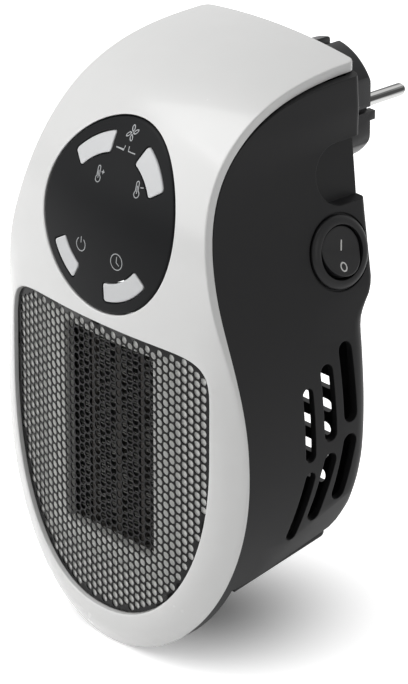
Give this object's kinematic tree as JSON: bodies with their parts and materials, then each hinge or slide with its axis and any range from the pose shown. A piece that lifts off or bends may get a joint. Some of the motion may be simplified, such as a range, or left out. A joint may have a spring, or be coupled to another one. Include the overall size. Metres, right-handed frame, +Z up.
{
  "type": "plug-in fan heater",
  "caption": "Small fan heater that hangs on its own turnable mains plug, with a curved white front, a perforated outlet, a round keypad and a side rocker switch.",
  "frame": {"origin": "centre of the plug's face, on the plug's axis", "axes": "+Y along the pins into the wall, -Y out of the front, +Z up, +X towards the side with the rocker switch"},
  "size_m": [0.1072, 0.1145, 0.1812],
  "materials": {
    "front_cover": "satin white",
    "rear_housing": "fine matt black",
    "foot_plate": "matt black",
    "grille": "black painted steel",
    "outlet_duct": "pale grey",
    "keypad_panel": "smooth dark grey",
    "button_fan_up": "pale grey",
    "button_fan_down": "pale grey",
    "button_power": "pale grey",
    "button_timer": "pale grey",
    "control_board": "green laminate",
    "tact_switch_1": "black",
    "tact_switch_2": "black",
    "tact_switch_3": "black",
    "tact_switch_4": "black",
    "led_display": "dark grey",
    "board_screw_1": "zinc plated",
    "board_screw_2": "zinc plated",
    "board_screw_3": "zinc plated",
    "board_screw_4": "zinc plated",
    "heater_frame": "heat resistant, dark",
    "fan_shroud": "matt black",
    "motor_bracket": "matt black",
    "fan_motor": "zinc plated can",
    "thermal_cutout": "ceramic look",
    "fan_impeller": "matt black",
    "motor_shaft": "bright",
    "power_board": "green laminate",
    "relay": "blue",
    "transformer": "dark brown",
    "filter_capacitor": "black sleeve",
    "housing_screw_1": "zinc plated",
    "housing_screw_2": "zinc plated",
    "housing_screw_3": "zinc plated",
    "housing_screw_4": "zinc plated",
    "switch_body": "matt black",
    "switch_rocker": "satin black",
    "plug_body": "matt black",
    "plug_ring": "matt black",
    "pin_left": "nickel plated",
    "pin_right": "nickel plated",
    "heating_element_1": "dull grey-brown",
    "heating_element_2": "dull grey-brown",
    "heating_element_3": "dull grey-brown",
    "fin_strip_1": "dull grey",
    "fin_strip_2": "dull grey",
    "fin_strip_3": "dull grey",
    "fin_strip_4": "dull grey"
  },
  "bodies": {
    "wall_plug": {"plug_body": "plug_body", "plug_ring": "plug_ring", "pin_left": "pin_left", "pin_right": "pin_right"},
    "heater": {"front_cover": "front_cover", "rear_housing": "rear_housing", "foot_plate": "foot_plate", "grille": "grille", "outlet_duct": "outlet_duct", "keypad_panel": "keypad_panel", "control_board": "control_board", "tact_switch_1": "tact_switch_1", "tact_switch_2": "tact_switch_2", "tact_switch_3": "tact_switch_3", "tact_switch_4": "tact_switch_4", "led_display": "led_display", "board_screw_1": "board_screw_1", "board_screw_2": "board_screw_2", "board_screw_3": "board_screw_3", "board_screw_4": "board_screw_4", "heater_frame": "heater_frame", "fan_shroud": "fan_shroud", "motor_bracket": "motor_bracket", "fan_motor": "fan_motor", "thermal_cutout": "thermal_cutout", "power_board": "power_board", "relay": "relay", "transformer": "transformer", "filter_capacitor": "filter_capacitor", "housing_screw_1": "housing_screw_1", "housing_screw_2": "housing_screw_2", "housing_screw_3": "housing_screw_3", "housing_screw_4": "housing_screw_4", "switch_body": "switch_body", "heating_element_1": "heating_element_1", "heating_element_2": "heating_element_2", "heating_element_3": "heating_element_3", "fin_strip_1": "fin_strip_1", "fin_strip_2": "fin_strip_2", "fin_strip_3": "fin_strip_3", "fin_strip_4": "fin_strip_4"},
    "fan": {"fan_impeller": "fan_impeller", "motor_shaft": "motor_shaft"},
    "rocker": {"switch_rocker": "switch_rocker"},
    "key_fan_up": {"button_fan_up": "button_fan_up"},
    "key_fan_down": {"button_fan_down": "button_fan_down"},
    "key_power": {"button_power": "button_power"},
    "key_timer": {"button_timer": "button_timer"}
  },
  "joints": [
    {"name": "plug_swivel", "type": "hinge", "parent": "wall_plug", "child": "heater", "pos_m": [0, 0, 0], "axis": [0, 1, 0], "range_deg": [-90, 90]},
    {"name": "fan_spin", "type": "hinge", "parent": "heater", "child": "fan", "pos_m": [0, -0.066, -0.085], "axis": [0, 1, 0], "continuous": true},
    {"name": "rocker_tilt", "type": "hinge", "parent": "heater", "child": "rocker", "pos_m": [0.04248, -0.0386, -0.027], "axis": [0.0713, 0.9613, -0.2663], "range_deg": [0, 20]},
    {"name": "key_fan_up_press", "type": "slide", "parent": "heater", "child": "key_fan_up", "axis": [0, 1, 0], "range_m": [0, 0.001], "stiffness_N_per_m": 400},
    {"name": "key_fan_down_press", "type": "slide", "parent": "heater", "child": "key_fan_down", "axis": [0, 1, 0], "range_m": [0, 0.001], "stiffness_N_per_m": 400},
    {"name": "key_power_press", "type": "slide", "parent": "heater", "child": "key_power", "axis": [0, 1, 0], "range_m": [0, 0.001], "stiffness_N_per_m": 400},
    {"name": "key_timer_press", "type": "slide", "parent": "heater", "child": "key_timer", "axis": [0, 1, 0], "range_m": [0, 0.001], "stiffness_N_per_m": 400}
  ]
}
